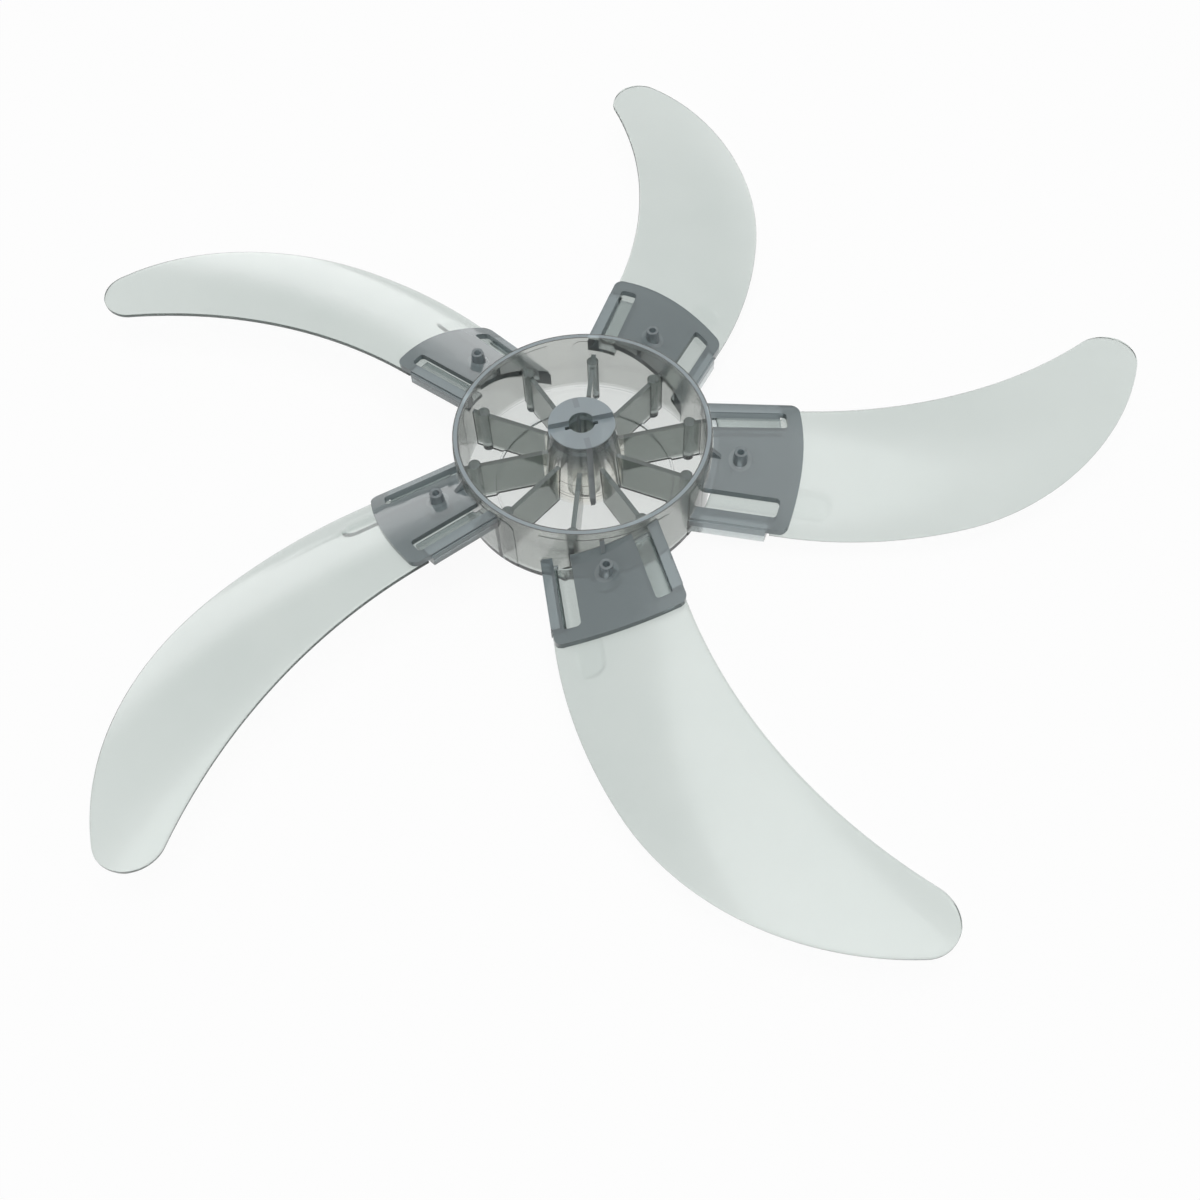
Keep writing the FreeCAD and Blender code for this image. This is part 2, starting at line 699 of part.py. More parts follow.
def turned(index):
    """The placement of one arm and its blade about the shaft."""
    angle = size("arm_angle") + 360 * index / round(size("blade_count"))
    return Placement(Vector(0, 0, 0), Rotation(Vector(0, 0, 1), angle))


arm_solid = arm_shape()
blade_solid = blade_shape()
arms = []
nodes = []
for index in range(round(size("blade_count"))):
    arm = doc.addObject("Part::Feature", f"arm_{index + 1}")
    arm.Shape = arm_solid
    arm.Placement = turned(index)
    arms.append(arm)
    blade = doc.addObject("Part::Feature", f"blade_{index + 1}")
    blade.Label = f"blade_{index + 1}"
    blade.Shape = blade_solid
    blade.Placement = turned(index)
    nodes.append(blade)

hub = doc.addObject("Part::MultiFuse", "hub")
hub.Label = "hub"
hub.Shapes = [core] + arms
nodes.insert(0, hub)
doc.recompute()

# Nothing is written unless every object is sound
for item in doc.Objects:
    if "Invalid" in item.State or "Error" in item.State:
        raise RuntimeError(f"{item.Label} failed: {item.State}")
for node in nodes:
    if node.Shape.isNull() or not node.Shape.isValid() or len(node.Shape.Solids) != 1:
        raise RuntimeError(f"{node.Label} is not one sound solid")

os.makedirs("parts", exist_ok=True)
for node in nodes:
    node.Shape.Solids[0].exportStep(f"parts/{node.Label}.step")
    print(node.Label, round(node.Shape.Volume, 1), node.Shape.BoundBox)
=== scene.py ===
"""Looks of the fan impeller: a smoky ribbed hub and five pale clear blades.

They lie in a white studio and are seen by the photograph's camera."""
import math

import bmesh
import bpy
import numpy as np
from mathutils import Matrix


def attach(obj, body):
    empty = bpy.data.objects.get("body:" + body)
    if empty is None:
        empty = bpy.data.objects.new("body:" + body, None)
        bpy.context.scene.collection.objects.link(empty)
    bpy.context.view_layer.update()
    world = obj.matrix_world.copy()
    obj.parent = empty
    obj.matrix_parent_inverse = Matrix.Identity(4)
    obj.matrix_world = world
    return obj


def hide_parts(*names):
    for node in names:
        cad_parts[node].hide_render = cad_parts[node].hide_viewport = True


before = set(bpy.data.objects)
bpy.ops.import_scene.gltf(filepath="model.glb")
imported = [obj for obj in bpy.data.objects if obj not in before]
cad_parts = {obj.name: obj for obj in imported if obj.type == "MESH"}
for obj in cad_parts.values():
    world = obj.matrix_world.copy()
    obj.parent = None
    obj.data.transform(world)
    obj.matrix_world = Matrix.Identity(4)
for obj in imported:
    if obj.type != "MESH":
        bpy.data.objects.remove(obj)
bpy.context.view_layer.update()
MM = 0.001

# The photograph's camera, as fitted to the hub and the blades in a 1200 x 1200 picture
PICTURE = 1200
FOCAL_PIXELS = 1237.4
SENSOR_WIDTH = 36.0
ELEVATION = math.radians(49.9)
ROLL = math.radians(-3.4)
HEADING = math.radians(-10.1)
AIM_PIXEL = (582.4, 434.2)
AIM_HEIGHT = 22.9 * MM
AIM_DISTANCE = 386 * MM
NEAREST_SEEN = 10 * MM

# Sizes of the hub and of one blade's plan, in millimetres, with the blade's screw on +X
BLADE_COUNT = 5
ARM_ANGLE = math.radians(-22.7)
DRUM_RADIUS = 40.0
DRUM_DEPTH = 25.5
ARM_END = 68.2
SCREW_X = 49.1
ROOT_RADIUS = 42.2
NECK_RADIUS = 62.3
SHOULDER = 1.2
ROOT_INSET = 3.3
LEAD_ANGLE = math.radians(18.1)
LEAD_HEADING = math.radians(8.5)
LEAD_RADIUS = 154.5
TRAIL_ANGLE = math.radians(-15.2)
TRAIL_HEADING = math.radians(0.3)
TRAIL_INNER_RADIUS = 146.0
TRAIL_INNER_TURN = math.radians(21.7)
TRAIL_OUTER_RADIUS = 84.4
TIP_RADIUS = 10.0
TIP_FLAT = 0.6

# Curved form of a blade, in millimetres, with slopes and falls to the millimetre
LEAD_HEIGHT = 21.2
LEAD_FALL = 0.048
PITCH_SLOPE = 0.44
PITCH_RUN = 167.0
CAMBER = 3.2
CAMBER_FALL = 0.0044
CAMBER_CHORD = 40.0
HALF_THICKNESS = 0.8
EDGE_ROUND = 0.7
TONGUE_NEAR = 4.7
TONGUE_WIDTH = 9.5
TONGUE_LENGTH = 13.5
TONGUE_ROUND = 4.3
TONGUE_HEIGHT = 0.5
TONGUE_SLOPE = 2.2
SEAT_RADIUS = 4.6
SEAT_DEPTH = 2.6
SCREW_RADIUS = 1.6
SINK_RADIUS = 3.2
SINK_DEPTH = 1.6

# Points along the arcs of a blade's plan
LEAD_POINTS = 400
TRAIL_INNER_POINTS = 200
TRAIL_OUTER_POINTS = 300
TIP_POINTS = 120

# Fineness of a blade's grid and of its screw seat
ARM_ROWS = 40
SHOULDER_ROWS = 24
NECK_ROWS = 10
OUTER_ROWS = 200
HALF_COLUMNS = 38
EDGE_ROWS = 7
SEAT_RINGS = 4
SPOKES = 48

# The largest share of a half station that the close rows along a blade's edge take
EDGE_SHARE = 0.5

# Step over which a slope is taken, and the distance within which points are joined, in millimetres
SLOPE_STEP = 0.05
WELD = 0.002

# Angles between faces: up to the first they are joined as flat, up to the second shaded as one surface
FLAT = math.radians(0.6)
CREASE = math.radians(35)

# Edges on the hub where its finish changes, in millimetres: the place and the width of the change
SLEEVE_EDGE = (6.3, 0.2)
BOSS_SKIN = (10.3, 0.2)
BOSS_EDGE = (13.1, 0.4)
WALL_EDGE = (37.6, 0.8)
OUTSIDE_EDGE = (40.5, 0.5)
FLOOR_TOP = (3.5, 0.6)
RIM_TOP = (25.1, 0.3)
SLOT_FLOOR = (26.0, 0.2)
BOSS_TOP = (28.1, 0.3)
PLATE_LEVEL = (0.15, 0.3)
POST_FOOT = (3.0, 0.5)

# Strips and rounds on the hub with a finish of their own, in millimetres: half the width, and the width
# of the change
MOULD_LINE = (0.12, 0.1)
RIM_STRIP = (0.42, 0.35)
WEB_STRIP = (0.8, 0.15)
SLOT_STRIP = (1.72, 0.05)
POST_ROUND = (3.4, 0.3)

# Other places on the hub, in millimetres: heights of the mould lines, middle of the rim's wall, and the
# heights between which the sleeve and the boss deepen
MOULD_LINE_HEIGHTS = (6.5, 12.0)
RIM_MIDDLE = 39.1
SLEEVE_DEEPENS = (12.0, 22.0)
BOSS_DEEPENS = (13.0, 25.0)

# Share of the frosting and its painted sheen that the webs hide
WEB_SHADE = 0.4

# Finishes of the hub: a colour, and the share of light that passes through
FLOOR_FINISH = ((0.99, 0.99, 0.965, 1), 0.97)
BOSS_FOOT_FINISH = ((0.98, 0.96, 0.89, 1), 0.90)
BOSS_HEAD_FINISH = ((0.34, 0.37, 0.37, 1), 0.62)
MOULD_LINE_FINISH = ((0.42, 0.40, 0.36, 1), 0.90)
BORE_FINISH = ((0.38, 0.44, 0.44, 1), 0.75)
SLEEVE_FOOT_FINISH = ((0.97, 0.96, 0.92, 1), 0.95)
RIB_FINISH = ((0.43, 0.465, 0.435, 1), 0.74)
WALL_FINISH = ((0.755, 0.76, 0.725, 1), 0.87)
SOCKET_FINISH = ((0.84, 0.89, 0.89, 1), 0.80)
# Painted shade: the arms' plates are tinted darker than the rest of the same plastic
PLATE_PAINTED_SHADE = ((0.31, 0.36, 0.373, 1), 0.55)
WEB_FINISH = ((0.33, 0.345, 0.36, 1), 0.45)
# Painted highlight: the screw posts are tinted lighter than the plates around them
POST_PAINTED_HIGHLIGHT = ((0.50, 0.56, 0.58, 1), 0.65)
# Frosting and painted sheen: a pale bluish colour, partly the frosting's own whitening and partly painted
# sheen on the top faces
FROST_AND_SHEEN_FINISH = ((0.67, 0.765, 0.81, 1), 0.55)

# Colours of the blades, and the share of light that passes through them
CLOUD_DEEP = (0.735, 0.775, 0.755, 1)
CLOUD_PALE = (0.772, 0.807, 0.787, 1)
ROOT_COLOUR = (0.63, 0.665, 0.65, 1)
TIP_COLOUR = (0.83, 0.865, 0.845, 1)
BLADE_CLEAR = 0.92

# Where a blade's root colour ends, the radii between which the blade grows paler, both in millimetres, and
# how much of the tip's colour shows
ROOT_COLOUR_EDGE = (65.5, 3.0)
TIP_PALES = (115.0, 180.0)
TIP_SHARE = 0.6

# Patterns in the plastics: waves to the metre and the amount of detail, then the part of a pattern's range
# that is used
SMOKE_GRAIN = (350, 2)
SMOKE_WAVES = (160, 1)
BLADE_CLOUD = (22, 3)
BLADE_FLOW = (40, 2)
BLADE_WAVES = (45, 1)
PATTERN_RANGE = (0.3, 0.7)

# Least and greatest roughness of each gloss
SMOKE_POLISH = (0.05, 0.085)
SMOKE_SATIN = (0.15, 0.20)
BLADE_GLOSS = (0.08, 0.13)

# Ripples in the surface: height in metres, and strength
SMOKE_RIPPLE = (0.03 * MM, 0.5)
BLADE_RIPPLE = (0.06 * MM, 0.5)

# Inside the plastics: refractive index, then the colour that light keeps and how densely it is taken up
PLASTIC_INDEX = 1.57
SMOKE_DEPTH = ((0.40, 0.475, 0.50, 1), 170)
BLADE_DEPTH = ((0.45, 0.56, 0.53, 1), 150)

# Studio floor and lamp: sizes in metres, the floor's colour and the share of white that it shows to the lens,
# and the lamp's radiance
FLOOR_SPAN = 20.0
FLOOR_LEVEL = -0.3 * MM
FLOOR_COLOUR = (0.9, 0.9, 0.9, 1)
FLOOR_WHITE = 0.94
LAMP_WIDTH = 1.2
LAMP_HEIGHT = 1.3
LAMP_RADIANCE = 2.0

# Light of the room: its colour, its strength on matt surfaces, and its strengths as the plastic mirrors it,
# all round, more overhead and more low beyond the fan
ROOM_COLOUR = (1, 1, 1, 1)
ROOM_LIGHT = 0.44
MIRRORED_LIGHT = 0.76
OVERHEAD_LIGHT = 0.92
LOW_LIGHT = 1.72

# Parts of a direction's height, or of its way beyond the fan, over which the mirrored light changes
OVERHEAD_SPAN = (0.80, 0.97)
LOW_SPAN = (0.25, 0.55)
BEYOND_SPAN = (0.3, 0.75)


# Blade surface

def unit(angle):
    """The plan direction at an angle."""
    return np.array([math.cos(angle), math.sin(angle)])


def left(angle):
    """The plan direction to the left of a heading."""
    return np.array([-math.sin(angle), math.cos(angle)])


LEAD_CORNER = ARM_END * unit(LEAD_ANGLE)
TRAIL_CORNER = ARM_END * unit(TRAIL_ANGLE)
LEAD_CENTRE = LEAD_CORNER + LEAD_RADIUS * left(LEAD_HEADING)


def arc(centre, start, finish, count):
    """Points on the shorter arc about a centre: its radius at angles spread evenly from start to finish."""
    first = start - centre
    last = finish - centre
    begin = math.atan2(first[1], first[0])
    sweep = math.atan2(first[0] * last[1] - first[1] * last[0], first @ last)
    angles = begin + sweep * np.linspace(0, 1, count)
    return centre + np.hypot(*first) * np.stack([np.cos(angles), np.sin(angles)], axis=1)


def smoothstep(value):
    """The cubic 3 v^2 - 2 v^3 of a value held between 0 and 1."""
    value = np.clip(value, 0, 1)
    return value * value * (3 - 2 * value)


def root_side(corner, heading, inward, radius):
    """Points at given radii on a straight side, from the root out to the arm's end.

    The point at radius r lies on the side's line moved inwards by ROOT_INSET * (1 - smoothstep), where the
    smoothstep runs over the shoulder from the neck."""
    inset = ROOT_INSET * (1 - smoothstep((radius - NECK_RADIUS) / SHOULDER))
    start = corner + inset[:, None] * inward
    along = unit(heading)
    forward = start @ along
    reach = np.sqrt(forward ** 2 - (start ** 2).sum(axis=1) + radius ** 2)
    return start + (reach - forward)[:, None] * along


def blade_edges():
    """The leading and the trailing edge, both from the arm's end to the tip's end.

    The leading edge is a hollow arc, the trailing edge an easy arc and then a tighter one, and the tip is
    the circle that touches both."""
    trail_centre = TRAIL_CORNER + TRAIL_INNER_RADIUS * left(TRAIL_HEADING)
    turned = TRAIL_HEADING + TRAIL_INNER_TURN
    bend = trail_centre - TRAIL_INNER_RADIUS * left(turned)
    outer_centre = bend + TRAIL_OUTER_RADIUS * left(turned)
    from_lead = LEAD_RADIUS + TIP_RADIUS
    from_trail = TRAIL_OUTER_RADIUS - TIP_RADIUS
    between = outer_centre - LEAD_CENTRE
    span = np.hypot(*between)
    along = (from_lead ** 2 - from_trail ** 2 + span ** 2) / (2 * span)
    aside = math.sqrt(from_lead ** 2 - along ** 2)
    between /= span
    tip = LEAD_CENTRE + along * between + aside * np.array([-between[1], between[0]])
    lead_touch = LEAD_CENTRE + LEAD_RADIUS / from_lead * (tip - LEAD_CENTRE)
    trail_touch = outer_centre + TRAIL_OUTER_RADIUS / from_trail * (tip - outer_centre)
    across = (trail_touch - lead_touch) / np.hypot(*(trail_touch - lead_touch))
    apex = tip + TIP_RADIUS * np.array([-across[1], across[0]])
    lead = np.concatenate([
        arc(LEAD_CENTRE, LEAD_CORNER, lead_touch, LEAD_POINTS),
        arc(tip, lead_touch, apex, TIP_POINTS)[1:],
    ])
    trail = np.concatenate([
        arc(trail_centre, TRAIL_CORNER, bend, TRAIL_INNER_POINTS),
        arc(outer_centre, bend, trail_touch, TRAIL_OUTER_POINTS)[1:],
        arc(tip, trail_touch, apex, TIP_POINTS)[1:],
    ])
    return lead, trail


def depth_of(plan):
    """Distance of plan points from the leading edge.

    It is measured from the edge's straight line inside the arm, and from its arc beyond."""
    from_corner = plan - LEAD_CORNER
    straight = -(from_corner @ left(LEAD_HEADING))
    beyond = from_corner @ unit(LEAD_HEADING) > 0
    curved = np.hypot(*np.moveaxis(plan - LEAD_CENTRE, -1, 0)) - LEAD_RADIUS
    return np.where(beyond, curved, straight)


def middle_height(plan):
    """Height of the blade's middle surface.

    The leading edge's height falls with radius; from it the surface drops by pitch * depth, where the pitch
    fades with radius, and rises by the parabola 4 * camber * share * (1 - share), share = depth / chord."""
    depth = depth_of(plan)
    beyond = np.hypot(plan[..., 0], plan[..., 1]) - DRUM_RADIUS
    pitch = PITCH_SLOPE * (1 - beyond / PITCH_RUN)
    camber = CAMBER - CAMBER_FALL * beyond
    share = depth / CAMBER_CHORD
    return LEAD_HEIGHT - LEAD_FALL * beyond - pitch * depth + 4 * camber * share * (1 - share)


def tongue_rise(plan):
    """Height of the stiffening tongue: a strip with a round end, eased in over its slope from its outline."""
    from_corner = plan - TRAIL_CORNER
    across = np.abs(from_corner @ left(TRAIL_HEADING) - TONGUE_NEAR - TONGUE_WIDTH / 2)
    along = from_corner @ unit(TRAIL_HEADING)
    aside = np.maximum(across - TONGUE_WIDTH / 2 + TONGUE_ROUND, 0)
    ahead = np.maximum(along - TONGUE_LENGTH + TONGUE_ROUND, 0)
    inside = TONGUE_ROUND - np.hypot(aside, ahead)
    return TONGUE_HEIGHT * smoothstep(inside / TONGUE_SLOPE)


def edge_steps(length, count):
    """Distances 0..length for each given length: even, then close together in a band at the far end.

    Within the band the distance from the end is band * (1 - cos(angle)), so a round edge gets even steps
    around its turn."""
    length = np.asarray(length, float)[..., None]
    band = np.minimum(EDGE_ROUND, EDGE_SHARE * length)
    even = (length - band) * np.linspace(0, 1, count)[:-1]
    turn = np.linspace(math.pi / 2, 0, EDGE_ROWS)
    return np.concatenate([even, length - band * (1 - np.cos(turn))], axis=-1)


def along_edge(edge, shares):
    """Points of an edge at shares of its length."""
    travel = np.concatenate([[0], np.cumsum(np.hypot(*np.diff(edge, axis=0).T))])
    return np.stack([np.interp(shares * travel[-1], travel, edge[:, axis]) for axis in (0, 1)], axis=1)


def root_radii():
    """Radii of the stations on the arm: close together at the root's edge and across the shoulder."""
    arm = NECK_RADIUS - edge_steps(NECK_RADIUS - ROOT_RADIUS, ARM_ROWS)[::-1]
    shoulder = np.linspace(NECK_RADIUS, NECK_RADIUS + SHOULDER, SHOULDER_ROWS)
    outside = np.linspace(NECK_RADIUS + SHOULDER, ARM_END, NECK_ROWS)
    return np.concatenate([arm, shoulder[1:], outside[1:]])


def blade_grid():
    """Plan points of one blade as stations by columns, with each point's distance from the nearest edge.

    A station on the arm joins the points of both sides at one radius, and one beyond it the points at one
    share of both edges. It bows outwards from the straight line by bulge * 4 * share * (1 - share), which
    keeps its middle at that radius on the arm and fades out towards the tip. The last station stands
    TIP_FLAT short of the tip's end."""
    radii = root_radii()
    lead, trail = blade_edges()
    length = np.hypot(*np.diff(trail, axis=0).T).sum()
    reach = length - TIP_FLAT
    travel = edge_steps(reach, OUTER_ROWS)[1:]
    start = np.concatenate([
        root_side(LEAD_CORNER, LEAD_HEADING, -left(LEAD_HEADING), radii),
        along_edge(lead, travel / length),
    ])
    finish = np.concatenate([
        root_side(TRAIL_CORNER, TRAIL_HEADING, left(TRAIL_HEADING), radii),
        along_edge(trail, travel / length),
    ])
    chord = np.hypot(*(finish - start).T)
    half = edge_steps(chord / 2, HALF_COLUMNS)
    chord = chord[:, None]
    columns = np.concatenate([chord / 2 - half[:, ::-1], chord / 2 + half[:, 1:]], axis=1)
    share = columns / chord
    across = (finish - start)[:, None]
    outward = across[..., ::-1] * np.array([-1, 1]) / chord[..., None]
    bulge = radii - np.hypot(*(start + finish)[:len(radii)].T) / 2
    bulge = np.concatenate([bulge, bulge[-1] * (1 - smoothstep(travel / reach))])[:, None]
    bow = 4 * bulge * share * (1 - share)
    plan = start[:, None] + across * share[..., None] + outward * bow[..., None]
    aside = np.minimum(columns, chord - columns)
    ahead = np.concatenate([radii - ROOT_RADIUS, reach - travel])[:, None]
    return plan, np.minimum(aside, ahead)


def surface_normal(plan):
    """Unit normal of the middle surface, from its slopes over a small step."""
    slopes = [
        (middle_height(plan + shift) - middle_height(plan - shift)) / (2 * SLOPE_STEP)
        for shift in (np.array([SLOPE_STEP, 0]), np.array([0, SLOPE_STEP]))
    ]
    normal = np.stack([-slopes[0], -slopes[1], np.ones_like(slopes[0])], axis=-1)
    return normal / np.linalg.norm(normal, axis=-1, keepdims=True)


def quads(index):
    """Faces of a grid of point numbers, one for each of its cells."""
    cells = [index[:-1, :-1], index[1:, :-1], index[1:, 1:], index[:-1, 1:]]
    return np.stack(cells, axis=-1).reshape(-1, 4)


def blade_sheet():
    """Vertices and faces of the blade's sheet, closed along its rounded edge.

    Rear and front lie at plus and minus h from the middle surface along its normal, where
    h = thickness * sqrt(1 - (1 - d / round)^2) at a distance d from the edge. The tongue adds to the
    front."""
    plan, inside = blade_grid()
    middle = np.concatenate([plan, middle_height(plan)[..., None]], axis=-1)
    normal = surface_normal(plan)
    share = np.clip(inside / EDGE_ROUND, 0, 1)
    lift = HALF_THICKNESS * np.sqrt(1 - (1 - share) ** 2)
    rear = middle + normal * lift[..., None]
    front = middle - normal * (lift + tongue_rise(plan) * share)[..., None]
    rear_index = np.arange(inside.size).reshape(inside.shape)
    border = np.zeros(inside.shape, bool)
    border[[0, -1]] = True
    border[:, [0, -1]] = True
    own_index = inside.size + np.cumsum(~border).reshape(inside.shape) - 1
    front_index = np.where(border, rear_index, own_index)
    points = np.concatenate([rear.reshape(-1, 3), front[~border]])
    faces = np.concatenate([quads(rear_index)[:, ::-1], quads(front_index)])
    return points, faces.tolist()


def turned_solid(radii, heights):
    """Vertices and faces of rings about the screw's axis, closed at both ends by a point on the axis.

    Ring i has radius radii[i]; heights[i] is one height or one for each of the SPOKES angles."""
    angles = np.linspace(0, 2 * math.pi, SPOKES, endpoint=False)
    heights = np.array([np.broadcast_to(level, SPOKES) for level in heights])
    radii = np.array(radii)[:, None]
    rings = np.stack([SCREW_X + radii * np.cos(angles), radii * np.sin(angles), heights], axis=-1)
    ends = np.array([[SCREW_X, 0, heights[0].mean()], [SCREW_X, 0, heights[-1].mean()]])
    points = np.concatenate([rings.reshape(-1, 3), ends])
    index = np.arange(len(radii) * SPOKES).reshape(-1, SPOKES)
    after = np.roll(index, -1, axis=1)
    walls = np.stack([index[:-1], after[:-1], after[1:], index[1:]], axis=-1).reshape(-1, 4)
    first = np.full(SPOKES, len(points) - 2)
    last = np.full(SPOKES, len(points) - 1)
    caps = np.concatenate([
        np.stack([first, after[0], index[0]], axis=-1),
        np.stack([last, index[-1], after[-1]], axis=-1),
    ])
    return points, walls.tolist() + caps.tolist()


def seat_height():
    """Height of the flat seat under the screw."""
    return float(middle_height(np.array([SCREW_X, 0.0]))) - SEAT_DEPTH


def seat_plug():
    """The screw's seat: a round plug from its flat face up to the blade's middle surface."""
    angles = np.linspace(0, 2 * math.pi, SPOKES, endpoint=False)
    radii = SEAT_RADIUS * np.arange(1, SEAT_RINGS + 1) / SEAT_RINGS
    circle = np.stack([np.cos(angles), np.sin(angles)], axis=-1)
    tops = [middle_height(np.array([SCREW_X, 0]) + radius * circle) for radius in radii]
    return turned_solid([SEAT_RADIUS, *radii[::-1]], [seat_height(), *tops[::-1]])


def screw_cut():
    """What the screw takes away: a cone that meets the seat's face at SINK_RADIUS, then a straight hole."""
    low = seat_height()
    return turned_solid(
        [SINK_RADIUS + SINK_DEPTH, SCREW_RADIUS, SCREW_RADIUS],
        [low - SINK_DEPTH, low + SINK_DEPTH, DRUM_DEPTH],
    )


def solid_object(name, points, faces):
    """A linked mesh object from an array of points in millimetres and a list of faces."""
    mesh = bpy.data.meshes.new(name)
    mesh.from_pydata((points * MM).tolist(), [], faces)
    item = bpy.data.objects.new(name, mesh)
    bpy.context.scene.collection.objects.link(item)
    return item


def baked(item):
    """A new mesh of an object with its modifiers applied."""
    graph = bpy.context.evaluated_depsgraph_get()
    return bpy.data.meshes.new_from_object(item.evaluated_get(graph), depsgraph=graph)


def cleaned(mesh):
    """Joins a mesh's doubled points and takes out faces without area."""
    shape = bmesh.new()
    shape.from_mesh(mesh)
    bmesh.ops.remove_doubles(shape, verts=shape.verts, dist=WELD * MM)
    bmesh.ops.dissolve_degenerate(shape, edges=shape.edges, dist=WELD * MM)
    shape.to_mesh(mesh)
    shape.free()


def drilled_blade():
    """One blade's mesh in the arm's frame: the sheet joined to its seat and drilled for the screw."""
    sheet = solid_object("sheet", *blade_sheet())
    tools = [solid_object("plug", *seat_plug()), solid_object("drill", *screw_cut())]
    for tool, operation in zip(tools, ("UNION", "DIFFERENCE")):
        step = sheet.modifiers.new(operation.lower(), "BOOLEAN")
        step.operation = operation
        step.solver = "EXACT"
        step.object = tool
    mesh = baked(sheet)
    cleaned(mesh)
    for item in [sheet, *tools]:
        bpy.data.objects.remove(item)
    mesh.shade_smooth()
    mesh.set_sharp_from_angle(angle=CREASE)
    return mesh


def add_blades(finish):
    """Five blades, each turned about the shaft in its mesh, in place of the plain solids."""
    pattern = drilled_blade()
    for number in range(BLADE_COUNT):
        mesh = pattern.copy()
        mesh.name = f"blade_moulding_{number + 1}"
        mesh.transform(Matrix.Rotation(ARM_ANGLE + 2 * math.pi * number / BLADE_COUNT, 4, "Z"))
        mesh.materials.clear()
        mesh.materials.append(finish)
        item = bpy.data.objects.new(mesh.name, mesh)
        bpy.context.scene.collection.objects.link(item)
        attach(item, "root")
        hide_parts(f"blade_{number + 1}")
    bpy.data.meshes.remove(pattern)


# Hub

def smooth_group():
    """A modifier group that shades a mesh smooth up to the crease angle."""
    group = bpy.data.node_groups.new("smooth_to_crease", "GeometryNodeTree")
    group.interface.new_socket("Geometry", in_out="INPUT", socket_type="NodeSocketGeometry")
    group.interface.new_socket("Geometry", in_out="OUTPUT", socket_type="NodeSocketGeometry")
    start = group.nodes.new("NodeGroupInput")
    finish = group.nodes.new("NodeGroupOutput")
    faces = group.nodes.new("GeometryNodeSetShadeSmooth")
    faces.domain = "FACE"
    edges = group.nodes.new("GeometryNodeSetShadeSmooth")
    edges.domain = "EDGE"
    angle = group.nodes.new("GeometryNodeInputMeshEdgeAngle")
    gentle = group.nodes.new("FunctionNodeCompare")
    gentle.data_type = "FLOAT"
    gentle.operation = "LESS_THAN"
    gentle.inputs[1].default_value = CREASE
    group.links.new(start.outputs[0], faces.inputs["Geometry"])
    group.links.new(faces.outputs["Geometry"], edges.inputs["Geometry"])
    group.links.new(angle.outputs["Unsigned Angle"], gentle.inputs[0])
    group.links.new(gentle.outputs[0], edges.inputs["Shade Smooth"])
    group.links.new(edges.outputs["Geometry"], finish.inputs[0])
    return group


def dress_hub(finish):
    """Gives the hub its plastic, and even shading across its flats and curved walls by modifiers."""
    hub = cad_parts["hub"]
    hub.data.materials.clear()
    hub.data.materials.append(finish)
    join = hub.modifiers.new("join_triangles", "WELD")
    join.merge_threshold = WELD * MM
    flats = hub.modifiers.new("join_flats", "DECIMATE")
    flats.decimate_type = "DISSOLVE"
    flats.angle_limit = FLAT
    hub.modifiers.new("smooth", "NODES").node_group = smooth_group()
    even = hub.modifiers.new("even_shading", "WEIGHTED_NORMAL")
    even.keep_sharp = True


# Finishes

def nodes_of(material):
    """An emptied node tree of a material, with its output node."""
    material.use_nodes = True
    tree = material.node_tree
    tree.nodes.clear()
    return tree, tree.nodes.new("ShaderNodeOutputMaterial")


def feed(tree, socket, value):
    """Sets a socket to a value, or links it to another socket."""
    if isinstance(value, bpy.types.NodeSocket):
        tree.links.new(value, socket)
    else:
        socket.default_value = value


def maths(tree, operation, *values):
    """A Math node on sockets or numbers."""
    node = tree.nodes.new("ShaderNodeMath")
    node.operation = operation
    for socket, value in zip(node.inputs, values):
        feed(tree, socket, value)
    return node.outputs[0]


def mapped(tree, value, low, high, start, finish):
    """A smooth map of a value's range low..high to start..finish."""
    node = tree.nodes.new("ShaderNodeMapRange")
    node.interpolation_type = "SMOOTHSTEP"
    names = ("Value", "From Min", "From Max", "To Min", "To Max")
    for name, number in zip(names, (value, low, high, start, finish)):
        feed(tree, node.inputs[name], number)
    return node.outputs[0]


def mixed(tree, kind, factor, first, second):
    """A Mix node of floats or colours; first and second are sockets or values."""
    node = tree.nodes.new("ShaderNodeMix")
    node.data_type = kind
    sockets = [socket for socket in node.inputs if socket.enabled]
    for socket, value in zip(sockets, (factor, first, second)):
        feed(tree, socket, value)
    return next(socket for socket in node.outputs if socket.enabled)


def parted(tree, place):
    """The three parts of a vector."""
    node = tree.nodes.new("ShaderNodeSeparateXYZ")
    tree.links.new(place, node.inputs[0])
    return node.outputs[0], node.outputs[1], node.outputs[2]


def noise(tree, place, scale, detail):
    """A noise pattern on a place, in waves to the metre."""
    node = tree.nodes.new("ShaderNodeTexNoise")
    node.inputs["Scale"].default_value = scale
    node.inputs["Detail"].default_value = detail
    tree.links.new(place, node.inputs["Vector"])
    return node.outputs["Fac"]


def bumped(tree, height, distance, strength):
    """A normal that follows a height pattern."""
    node = tree.nodes.new("ShaderNodeBump")
    node.inputs["Distance"].default_value = distance
    node.inputs["Strength"].default_value = strength
    tree.links.new(height, node.inputs["Height"])
    return node.outputs[0]


def absorbing(tree, output, colour, density):
    """Lets light fade along its way through the plastic, so edges and thick places look deeper."""
    depth = tree.nodes.new("ShaderNodeVolumeAbsorption")
    depth.inputs["Color"].default_value = colour
    depth.inputs["Density"].default_value = density
    tree.links.new(depth.outputs[0], output.inputs["Volume"])


def past(tree, value, edge, width):
    """Zero before an edge and one past it, eased over a width."""
    return mapped(tree, value, edge - width / 2, edge + width / 2, 0.0, 1.0)


def near(tree, value, centre, half, width):
    """One within half of a centre and zero beyond it, eased over a width."""
    away = maths(tree, "ABSOLUTE", maths(tree, "SUBTRACT", value, centre))
    return mapped(tree, away, half, half + width, 1.0, 0.0)


def both(tree, first, second):
    """The product of two masks, which is one only where both are."""
    return maths(tree, "MULTIPLY", first, second)


